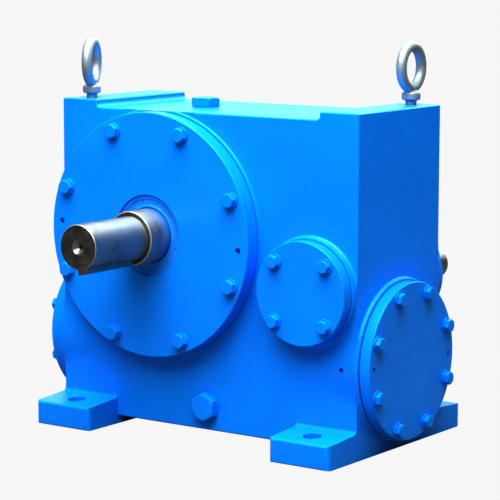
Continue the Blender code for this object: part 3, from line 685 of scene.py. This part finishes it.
def small_holes(body):
    """Drills the feet, the eyes' threads, the plugs' holes and the probe's hole beside the right foot."""
    past = 0.02
    centre = [(0, 0)]
    origin = (0, 0, 0)
    hole_x = SIDE - FOOT_WIDTH / 2
    rows = (FOOT_FRONT + FOOT_HOLE_INSET, FOOT_REAR - FOOT_HOLE_INSET)
    feet = [(x, y) for x in (-hole_x, hole_x) for y in rows]
    combine(body, drills("foot_holes", FOOT_HOLE, -past, FOOT_ROOT + past, feet, "+Z", origin, segments=48))
    for node in ("eyebolt_left", "eyebolt_right"):
        eye = [middle_of(node).xy]
        combine(body, drills("eye_hole", 0.0108, HEIGHT - 0.027, HEIGHT + past, eye, "+Z", origin))
    filler = (*middle_of("filler_plug").xy, LEDGE)
    combine(body, drills("filler_hole", PLUG_HOLE, -0.06, past, centre, "+Z", filler))
    drain = drain_seat()
    combine(body, drills("drain_hole", PLUG_HOLE, -0.06, past, centre, "-Y", drain))
    combine(body, drills("drain_face", 0.0290, -0.0008, past, centre, "-Y", drain, segments=72))
    probe = (0.296, FRONT - 0.004, 0.158)
    combine(body, drills("probe_hole", 0.0045, -0.012, past, centre, "-Y", probe))


def middle_of(node):
    low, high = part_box(node)
    return (low + high) / 2


def drain_seat():
    """Where the drain plug's axis meets the front wall."""
    drain = middle_of("drain_plug")
    return (drain.x, FRONT, drain.z)


def housing():
    body = housing_body()
    for side in (-1, 1):
        combine(body, base_rail(side), "UNION")
    housing_bosses(body)
    oil_space(body)
    bores(body)
    small_holes(body)
    finished(body, CAST, node="housing")


# Covers, gaskets and seals


def cover(name, node, corners, direction, at, holes=(), segments=160, ring=False):
    """A turned cover, with its drilled holes as (radius, depth, places) from its outer face."""
    plate = turned(name, corners, direction, at, segments, ring)
    outer = max(height for _, height, *_ in corners)
    for radius, depth, places in holes:
        cutter = drills("holes", radius, outer - depth, outer + 0.01, places, direction, at, segments=24)
        combine(plate, cutter)
    finished(plate, MACHINED, node=node)


def distance(node, direction, at):
    """How far a node reaches along a direction from a point, as (nearest, furthest)."""
    axis = TURN[direction].col[2]
    spans = sorted((corner - at).dot(axis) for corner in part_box(node))
    return spans[0], spans[1]


def output_cover():
    bottom, face = distance("output_cover", "-Y", OUTPUT)
    plate = face - 0.030
    spigot = OUTPUT_BORE - 0.0006
    web = HALF - 0.006
    pocket = HALF + 0.017
    recess = 0.0732
    seat = face - SEAL_DEPTH
    corners = [
        (recess, face, 0.0006),
        (OUTPUT_RIM, face, RIM_EDGE),
        (OUTPUT_RIM, plate, 0.001),
        (spigot, plate),
        (spigot, web, 0.001),
        (0.100, web, 0.004),
        (0.100, bottom, 0.001),
        (0.0804, bottom),
        (0.0804, pocket),
        (0.052, pocket),
        (0.052, seat),
        (recess, seat),
    ]
    bolts = (M16.shank + THREAD_FIT, 0.06, circle(*OUTPUT_BOLTS))
    jacks = (0.0058, 0.018, circle(0.200, 2, math.radians(-3.5)))
    cover("output_cover_plate", "output_cover", corners, "-Y", OUTPUT, (bolts, jacks), 192, ring=True)


def input_blind_cover():
    bottom, face = distance("input_blind_cover", "-Y", INPUT)
    plate = face - 0.022
    spigot = INPUT_BORE - SPIGOT_FIT
    corners = [
        (0, face),
        (INPUT_RIM, face, RIM_EDGE),
        (INPUT_RIM, plate, 0.001),
        (spigot, plate),
        (spigot, bottom, 0.001),
        (0, bottom),
    ]
    bolts = (M14.shank + THREAD_FIT, 0.06, circle(*INPUT_BOLTS))
    cover("input_blind_cover_plate", "input_blind_cover", corners, "-Y", INPUT, (bolts,))


def side_cover(name, direction):
    bottom, face = distance(f"{name}_side_cover", direction, MIDDLE)
    plate = face - 0.020
    spigot = SIDE_BORE - SPIGOT_FIT
    hub = 0.0555
    pocket = SIDE + 0.004
    corners = [
        (0, face),
        (SIDE_RIM, face, RIM_EDGE),
        (SIDE_RIM, plate, 0.001),
        (spigot, plate),
        (spigot, bottom, 0.001),
        (hub, bottom, 0.001),
        (hub, pocket),
        (0, pocket),
    ]
    bolts = (M14.shank + THREAD_FIT, 0.07, circle(*SIDE_BOLTS))
    jacks = (0.0045, 0.016, circle(SIDE_BOLTS[0], 2, math.radians(-2)))
    cover(f"{name}_cover_plate", f"{name}_side_cover", corners, direction, MIDDLE, (bolts, jacks))


def rear_output_cover():
    bottom, face = distance("rear_output_cover", "+Y", OUTPUT)
    plate = face - 0.018
    spigot = REAR_BORE - SPIGOT_FIT
    dish = face - 0.003
    dish_radius = 0.068
    corners = [
        (0, dish),
        (dish_radius, dish, 0.004),
        (dish_radius + 0.003, face, 0.001),
        (REAR_RIM, face, RIM_EDGE),
        (REAR_RIM, plate, 0.001),
        (spigot, plate),
        (spigot, bottom, 0.001),
        (0, bottom),
    ]
    bolts = (M14.shank + THREAD_FIT, 0.04, circle(*REAR_BOLTS))
    cover("rear_output_cover_plate", "rear_output_cover", corners, "+Y", OUTPUT, (bolts,))


def input_seal_cover():
    bottom, face = distance("input_seal_cover", "+Y", INPUT)
    plate = face - 0.018
    spigot = INPUT_BORE - SPIGOT_FIT
    recess = 0.0425
    seat = face - SEAL_DEPTH
    hole = 0.033
    corners = [
        (recess, face, 0.001),
        (SEAL_RIM, face, RIM_EDGE),
        (SEAL_RIM, plate, 0.001),
        (spigot, plate),
        (spigot, bottom, 0.001),
        (hole, bottom),
        (hole, seat),
        (recess, seat),
    ]
    bolts = (M14.shank + THREAD_FIT, 0.04, circle(*SEAL_BOLTS))
    cover("input_seal_cover_plate", "input_seal_cover", corners, "+Y", INPUT, (bolts,), ring=True)


def gasket(node, bore, rim, direction, at):
    """A flat ring, its edge a little behind the cover's, and a little bulged."""
    low, high = distance(node, direction, at)
    inner = bore + 0.001
    outer = rim - GASKET_SETBACK
    bulge = (high - low) * 0.3
    corners = [(outer, high, bulge), (outer, low, bulge), (inner, low), (inner, high)]
    ring = turned(f"{node}_ring", corners, direction, at, segments=160, ring=True)
    finished(ring, FIBRE, node=node)


def shaft_seal(node, outer, inner, direction, at):
    """A lip seal: a rubber-covered case with two shallow ridges, a dust lip and moulded dimples."""
    low, high = distance(node, direction, at)
    ridge = outer - (outer - inner) * 0.28
    valley = high - 0.0024
    corners = [
        (inner, high - 0.0030),
        (inner + 0.0012, high - 0.0008, 0.0005),
        (inner + 0.0045, high - 0.0012, 0.0008),
        (inner + 0.0060, valley, 0.0008),
        (ridge - 0.003, valley, 0.0012),
        (ridge, high - 0.0008, 0.0010),
        (outer - 0.0030, high - 0.0004, 0.0006),
        (outer, high - 0.0008, 0.0003),
        (outer, low),
        (inner, low),
    ]
    lip = turned(f"{node}_lip", corners, direction, at, segments=128, ring=True)
    dimples = circle((inner + outer) / 2 + 0.001, 12, 0.2)
    combine(lip, drills("dimples", 0.0014, high - 0.005, high + 0.01, dimples, direction, at, segments=12))
    finished(lip, SEAL, node=node)


# Fasteners


def hex_headed(name, flats, profile, rounding):
    """A turned bolt or plug whose head, from z = 0 up, is then cut to a hexagon."""
    head = turned(name, profile, "+Z", (0, 0, 0), segments=96)
    hexagon = drills("hexagon", flats / math.sqrt(3), -0.1, 0.1, [(0, 0)], "+Z", (0, 0, 0), segments=6)
    combine(head, hexagon, "INTERSECT")
    return softened(head, rounding, segments=3, angle=22)


def head_profile(flats, top, angle, collar):
    """The outline of a chamfered head over its washer face, which has this height."""
    corner = flats / math.sqrt(3) + 0.001
    face = flats / 2 * 0.93
    washer = flats / 2 * 0.97
    chamfer = top - (corner - face) * math.tan(angle)
    under = GAP + collar
    return [(0, top), (face, top), (corner, chamfer), (corner, under), (washer, under), (washer, GAP)]


def bolt_mesh(screw):
    """A painted hexagon screw on its plain washer, along its own +Z with its seat on z = 0."""
    seat = GAP + screw.washer_height
    buried = seat - 0.001
    collar = screw.washer_height + 0.0006
    profile = head_profile(screw.flats, seat + screw.head, math.radians(30), collar)[:-1]
    profile += [(profile[-1][0], buried), (0, buried)]
    bolt = hex_headed("bolt", screw.flats, profile, 0.0005)
    disc = [
        (0, seat),
        (screw.washer, seat, 0.0006),
        (screw.washer, GAP, 0.0004),
        (screw.shank, GAP),
        (screw.shank, -SHANK_DEPTH),
        (0, -SHANK_DEPTH),
    ]
    combine(bolt, turned("washer", disc, "+Z", (0, 0, 0), segments=64), "UNION")
    mesh = bolt.data
    bpy.data.objects.remove(bolt)
    return mesh


def add_bolts(mesh, name, bolt_circle, direction, at, seat, nodes):
    """Bolts on a circle, each tightened to its own angle, in their CAD nodes' places if they have one."""
    for number, (x, y) in enumerate(circle(*bolt_circle), 1):
        bolt = bpy.data.objects.new(f"{name}_{number}", mesh.copy())
        bpy.context.scene.collection.objects.link(bolt)
        turn = math.radians((number * 37) % 60)
        spin = Matrix.Translation((x, y, seat)) @ Matrix.Rotation(turn, 4, "Z")
        bolt.matrix_world = frame_at(direction, at) @ spin
        node = f"{nodes}_bolt_{number}" if nodes else None
        finished(bolt, MACHINED, node=node)


def bolts():
    large = bolt_mesh(M16)
    small = bolt_mesh(M14)
    seats = (
        ("output_bolt", large, OUTPUT_BOLTS, "-Y", OUTPUT, "output_cover", "output_cover"),
        ("input_bolt", small, INPUT_BOLTS, "-Y", INPUT, "input_blind_cover", "input_cover"),
        ("right_bolt", small, SIDE_BOLTS, "+X", MIDDLE, "right_side_cover", "right_cover"),
        ("left_bolt", small, SIDE_BOLTS, "-X", MIDDLE, "left_side_cover", "left_cover"),
        ("rear_output_bolt", small, REAR_BOLTS, "+Y", OUTPUT, "rear_output_cover", None),
        ("rear_input_bolt", small, SEAL_BOLTS, "+Y", INPUT, "input_seal_cover", None),
    )
    for name, mesh, bolt_circle, direction, at, plate, nodes in seats:
        add_bolts(mesh, name, bolt_circle, direction, at, distance(plate, direction, at)[1], nodes)


def plug(node, matrix, top, washer):
    """A chamfered plug on its sealing washer, its thread down in the wall."""
    depth = -0.016
    profile = head_profile(PLUG_FLATS, top, math.radians(25), washer)
    profile += [(PLUG_THREAD, GAP), (PLUG_THREAD, depth), (0, depth)]
    head = hex_headed(f"{node}_hexagon", PLUG_FLATS, profile, 0.0008)
    head.matrix_world = matrix
    finished(baked(head), MACHINED, node=node)


def plugs():
    """The filler plug on the ledge, and the drain plug low on the front in its spot face."""
    at = middle_of("filler_plug")
    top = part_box("filler_plug")[1].z
    seat = Matrix.Translation((at.x, at.y, LEDGE)) @ Matrix.Rotation(math.radians(50), 4, "Z")
    plug("filler_plug", seat, top - LEDGE, 0.0006)
    drain = drain_seat()
    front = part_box("drain_plug")[0].y
    plug("drain_plug", frame_at("-Y", drain), FRONT - front, 0.0015)
    outer, inner = 0.0265, 0.0228
    low, high = -0.0005, 0.0014
    washer = [(outer, high, 0.0005), (outer, low, 0.0005), (inner, low), (inner, high)]
    ring = turned("drain_washer", washer, "-Y", drain, segments=96, ring=True)
    finished(ring, MACHINED)


def eyebolt(node, turn):
    """A forged lifting eye whose ring, neck and collar flow into each other."""
    place = middle_of(node)
    bar = 0.0095
    ring_radius = 0.0370
    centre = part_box(node)[1].z - HEIGHT - ring_radius - bar
    bpy.ops.mesh.primitive_torus_add(
        major_radius=ring_radius, minor_radius=bar, major_segments=96, minor_segments=32
    )
    eye = bpy.context.active_object
    eye.name = f"{node}_forging"
    eye.matrix_world = Matrix.Translation((0, 0, centre)) @ Matrix.Rotation(math.pi / 2, 4, "Y")
    baked(eye)
    collar = 0.0168
    neck_top = 0.0300
    thread_end = -0.0240
    neck = [
        (0, neck_top),
        (0.0080, neck_top),
        (0.0098, 0.0255, 0.006),
        (collar, 0.0212, 0.003),
        (collar, 0.0092, 0.003),
        (0.0100, 0.0078, 0.001),
        (0.0098, 0.0010),
        (0.0106, thread_end, 0.002),
        (0, thread_end),
    ]
    combine(eye, turned("neck", neck, "+Z", (0, 0, 0), segments=64), "UNION")
    remesh = eye.modifiers.new("Forging", "REMESH")
    remesh.mode = "VOXEL"
    remesh.voxel_size = 0.0010
    smooth = eye.modifiers.new("Flow", "SMOOTH")
    smooth.factor = 0.5
    smooth.iterations = 6
    baked(eye)
    eye.matrix_world = Matrix.Translation((place.x, place.y, HEIGHT)) @ Matrix.Rotation(turn, 4, "Z")
    baked(eye)
    finished(eye, ZINC, node=node, smooth=80)


# Shafts and keys


def key_frame(at, direction, angle):
    return Matrix.Translation(at) @ Matrix.Rotation(-angle, 4, "Y") @ TURN[direction].to_4x4()


def key_outline(width, start, end, open_end):
    """A key seen from above: a rectangle with round ends, or with one square end."""
    half = width / 2
    near = half * 0.98
    far = 0.0008 if open_end else near
    return [(-half, start, near), (half, start, near), (half, end, far), (-half, end, far)]


def key_piece(name, width, start, end, low, high, matrix, open_end):
    """The key's outline lies in its frame's (x, z) plane, and its height along -y."""
    flat = matrix @ Matrix.Rotation(math.pi / 2, 4, "X")
    return prism(name, key_outline(width, start, end, open_end), low, high, flat)


def output_shaft():
    near, end = distance("output_shaft", "-Y", OUTPUT)
    shoulder = end - OUTPUT_END_LENGTH
    neck = OUTPUT_RADIUS - 0.0007
    chamfer = 0.0016
    soft = 0.0004
    bearing_out = HALF + 0.017
    bearing_in = HALF - 0.016
    corners = [
        (0, end - 0.022),
        (0.0046, end - 0.021),
        (0.0046, end - 0.0085),
        (0.0112, end - 0.0012, soft),
        (0.0125, end),
        (OUTPUT_RADIUS - chamfer, end, soft),
        (OUTPUT_RADIUS, end - chamfer, soft),
        (OUTPUT_RADIUS, shoulder + 0.0032, soft),
        (neck, shoulder + 0.0022, 0.0006),
        (neck, shoulder, 0.0006),
        (OUTPUT_JOURNAL - 0.0024, shoulder, 0.0003),
        (OUTPUT_JOURNAL, shoulder - 0.0015, 0.0003),
        (OUTPUT_JOURNAL, bearing_out),
        (0.045, bearing_out),
        (0.045, bearing_in),
        (0.056, bearing_in),
        (0.056, 0.042),
        (0.050, 0.042),
        (0.050, -0.044),
        (0.0425, -0.044),
        (0.0425, near),
        (0, near),
    ]
    shaft = turned("output_shaft_turned", corners, "-Y", OUTPUT, segments=160)
    way = key_frame(OUTPUT, "-Y", KEY_ANGLE)
    key_start = shoulder + 0.010
    slot = key_piece("way", 0.0226, key_start - 0.0005, end + 0.02, 0.0305, 0.060, way, open_end=False)
    combine(shaft, slot)
    finished(shaft, STEEL, "output_train", "output_shaft", 25)
    faced(shaft, -1, (OUTPUT.y - end, OUTPUT.y - shoulder))

    key = key_piece("output_key_steel", 0.0220, key_start, end - 0.001, 0.0310, 0.0485, way, open_end=True)
    softened(key, 0.0006, 2)
    finished(key, KEY_STEEL, "output_train", "output_key")


def faced(shaft, face, places):
    """Gives the flat faces at these places along Y a darker finish, and their outer edges a brighter one.

    The face is -1 where they look forwards and 1 where they look back.
    """
    shaft.data.materials.append(SHAFT_END)
    shaft.data.materials.append(EDGE_STEEL)
    for polygon in shaft.data.polygons:
        slope = polygon.normal.y * face
        near = min(abs(polygon.center.y - place) for place in places)
        # The edges of the output shaft's centre hole stay plain.
        outer = (polygon.center.xz - OUTPUT.xz).length > 0.030
        if slope > 0.9 and near < 0.0008:
            polygon.material_index = 1
        elif 0.3 < slope < 0.9 and near < 0.0040 and outer:
            polygon.material_index = 2


def input_shaft():
    """The input shaft's end and journals, turned, with its worm from CAD, which the housing hides."""
    near, end = distance("input_worm_shaft", "+Y", INPUT)
    seal_face = distance("input_seal_cover", "+Y", INPUT)[1]
    bearing_seat = 0.030
    shoulder = 0.035
    core = 0.0235
    corners = [
        (0, end - 0.016),
        (0.0032, end - 0.015),
        (0.0032, end - 0.006),
        (0.0085, end),
        (INPUT_RADIUS - 0.0018, end, 0.0005),
        (INPUT_RADIUS, end - 0.0020, 0.0005),
        (INPUT_RADIUS, seal_face + 0.012),
        (INPUT_JOURNAL, seal_face + 0.0105, 0.0004),
        (INPUT_JOURNAL, HALF + 0.003),
        (bearing_seat, HALF + 0.003),
        (bearing_seat, HALF - 0.023),
        (shoulder, HALF - 0.023),
        (shoulder, HALF - 0.033),
        (core, HALF - 0.040),
        (core, 0.040),
        (0, 0.040),
    ]
    stub = turned("input_shaft_turned", corners, "+Y", INPUT, segments=128)
    way = key_frame(INPUT, "+Y", 0)
    combine(stub, key_piece("way", 0.0166, end - 0.090, end - 0.008, 0.0212, 0.060, way, open_end=False))
    combine(stub, worm_threads(near), "UNION")
    finished(stub, STEEL, "input_train", "input_worm_shaft", 25)
    faced(stub, 1, (INPUT.y + end,))

    key_span = (end - 0.0895, end - 0.0085)
    key = key_piece("input_key_steel", 0.0160, *key_span, 0.0216, 0.0318, way, open_end=False)
    softened(key, 0.0005, 2)
    finished(key, KEY_STEEL, "input_train", "input_key")


def worm_threads(near):
    """The hidden half of the input shaft, taken from its CAD solid."""
    source = frame["nodes"]["input_worm_shaft"]
    copy = bpy.data.objects.new("worm_part", source.data.copy())
    bpy.context.scene.collection.objects.link(copy)
    bm = bmesh.new()
    bm.from_mesh(copy.data)
    bmesh.ops.remove_doubles(bm, verts=bm.verts, dist=0.000001)
    bm.to_mesh(copy.data)
    bm.free()
    low = (INPUT.x - 0.1, INPUT.y + near - 0.01, INPUT.z - 0.1)
    high = (INPUT.x + 0.1, INPUT.y + 0.060, INPUT.z + 0.1)
    return combine(copy, block("worm_clip", low, high), "INTERSECT")


def inside():
    """The pieces that only a cutaway would show keep their CAD shapes."""
    finishes = {
        "output_wheel_rim": BRONZE,
        "intermediate_wheel": BRONZE,
        "output_wheel_hub": IRON,
        "intermediate_worm_shaft": STEEL,
        "output_bearing_front": RACE,
        "output_bearing_rear": RACE,
        "intermediate_bearing_left": RACE,
        "intermediate_bearing_right": RACE,
        "input_bearing_front": RACE,
        "input_bearing_rear": RACE,
    }
    for node, material in finishes.items():
        for slot in frame["nodes"][node].material_slots:
            slot.material = material


# Stage

BACKDROP = 0.944
AMBIENT = 0.155


def shown_backdrop(tree, lighting, seen, output):
    """The camera sees a pale, even backdrop, while another surface or sky lights the object."""
    light_path = tree.nodes.new("ShaderNodeLightPath")
    mix = tree.nodes.new("ShaderNodeMixShader")
    tree.links.new(light_path.outputs["Is Camera Ray"], mix.inputs[0])
    tree.links.new(lighting.outputs[0], mix.inputs[1])
    tree.links.new(seen.outputs[0], mix.inputs[2])
    tree.links.new(mix.outputs[0], tree.nodes[output].inputs["Surface"])
    seen.inputs["Color"].default_value = (BACKDROP, BACKDROP, BACKDROP, 1)


def studio_world():
    world = bpy.data.worlds.new("studio")
    world.use_nodes = True
    bpy.context.scene.world = world
    tree = world.node_tree
    ambient = tree.nodes["Background"]
    ambient.inputs["Color"].default_value = (0.93, 0.97, 1.0, 1)
    ambient.inputs["Strength"].default_value = AMBIENT
    shown_backdrop(tree, ambient, tree.nodes.new("ShaderNodeBackground"), "World Output")


def floor():
    """A matt grey floor, which the camera sees in the backdrop's even tone."""
    bm = bmesh.new()
    bmesh.ops.create_grid(bm, x_segments=1, y_segments=1, size=60)
    plane = new_object("floor", bm)
    plane.location.z = -0.0005
    material = bpy.data.materials.new("floor")
    material.use_nodes = True
    tree = material.node_tree
    paint = tree.nodes["Principled BSDF"]
    paint.inputs["Base Color"].default_value = (0.12, 0.12, 0.12, 1)
    paint.inputs["Roughness"].default_value = 0.9
    paint.inputs["Specular IOR Level"].default_value = 0.0
    shown_backdrop(tree, paint, tree.nodes.new("ShaderNodeEmission"), "Material Output")
    plane.data.materials.append(material)


def direction_to(azimuth, elevation):
    """The direction to a place round the gearbox. Azimuth 0 is in front of it, and 90 on its right."""
    level = math.cos(elevation)
    return Vector((math.sin(azimuth) * level, -math.cos(azimuth) * level, math.sin(elevation)))


def softbox(name, azimuth, elevation, reach, width, height, power, colour=(1, 1, 1)):
    """An area light at a distance from the gearbox's middle, which it looks at. Angles in degrees."""
    light = bpy.data.lights.new(name, "AREA")
    light.shape = "RECTANGLE"
    light.size = width
    light.size_y = height
    light.energy = power
    light.color = colour
    lamp = bpy.data.objects.new(name, light)
    bpy.context.scene.collection.objects.link(lamp)
    way = direction_to(math.radians(azimuth), math.radians(elevation))
    lamp.location = Vector((0, MIDDLE.y, 0.3)) + way * reach
    lamp.rotation_euler = way.to_track_quat("Z", "Y").to_euler()


def lights():
    softbox("key_softbox", 25, 58, 3.8, 3.4, 3.4, 262)
    softbox("right_softbox", 60, 60, 3.8, 1.9, 1.9, 26)
    softbox("left_softbox", -15, 58, 3.8, 3.4, 3.4, 96)
    softbox("front_softbox", 30, 22, 3.8, 3.4, 3.4, 13)
    softbox("top_softbox", 0, 88, 3.8, 3.4, 3.4, 285, (0.80, 1.0, 0.96))
    softbox("back_softbox", 175, 36, 3.0, 2.8, 2.0, 60)
    softbox("low_back_softbox", 215, 14, 3.0, 3.4, 1.5, 16)


def camera():
    """A long lens, 35 degrees to the gearbox's right and 8 degrees above it, rolled a little."""
    data = bpy.data.cameras.new("camera")
    data.lens = 156.6
    data.sensor_width = 36
    data.clip_end = 100
    obj = bpy.data.objects.new("camera", data)
    bpy.context.scene.collection.objects.link(obj)
    azimuth, elevation, roll = (math.radians(a) for a in (35.367, 8.038, 0.107))
    stand = Vector((2.2905, MIDDLE.y - 3.2203, 0.8845))
    way = direction_to(azimuth, elevation)
    right = Vector((math.cos(azimuth), math.sin(azimuth), 0))
    up = way.cross(right)
    across = right * math.cos(roll) + up * math.sin(roll)
    upward = up * math.cos(roll) - right * math.sin(roll)
    obj.matrix_world = Matrix.Translation(stand) @ Matrix((across, upward, way)).transposed().to_4x4()
    bpy.context.scene.camera = obj


# Assembly

camera()
housing()
output_cover()
input_blind_cover()
side_cover("right", "+X")
side_cover("left", "-X")
rear_output_cover()
input_seal_cover()
gasket("output_gasket", OUTPUT_BORE, OUTPUT_RIM, "-Y", OUTPUT)
gasket("input_blind_gasket", INPUT_BORE, INPUT_RIM, "-Y", INPUT)
gasket("right_side_gasket", SIDE_BORE, SIDE_RIM, "+X", MIDDLE)
gasket("left_side_gasket", SIDE_BORE, SIDE_RIM, "-X", MIDDLE)
gasket("input_seal_gasket", INPUT_BORE, SEAL_RIM, "+Y", INPUT)
shaft_seal("output_seal", 0.0730, 0.0496, "-Y", OUTPUT)
shaft_seal("input_seal", 0.0420, 0.0296, "+Y", INPUT)
bolts()
plugs()
eyebolt("eyebolt_left", math.radians(25))
eyebolt("eyebolt_right", math.radians(3))
output_shaft()
input_shaft()
inside()
studio_world()
floor()
lights()
bpy.context.scene.view_settings.view_transform = "Standard"
bpy.context.scene.view_settings.gamma = 0.714
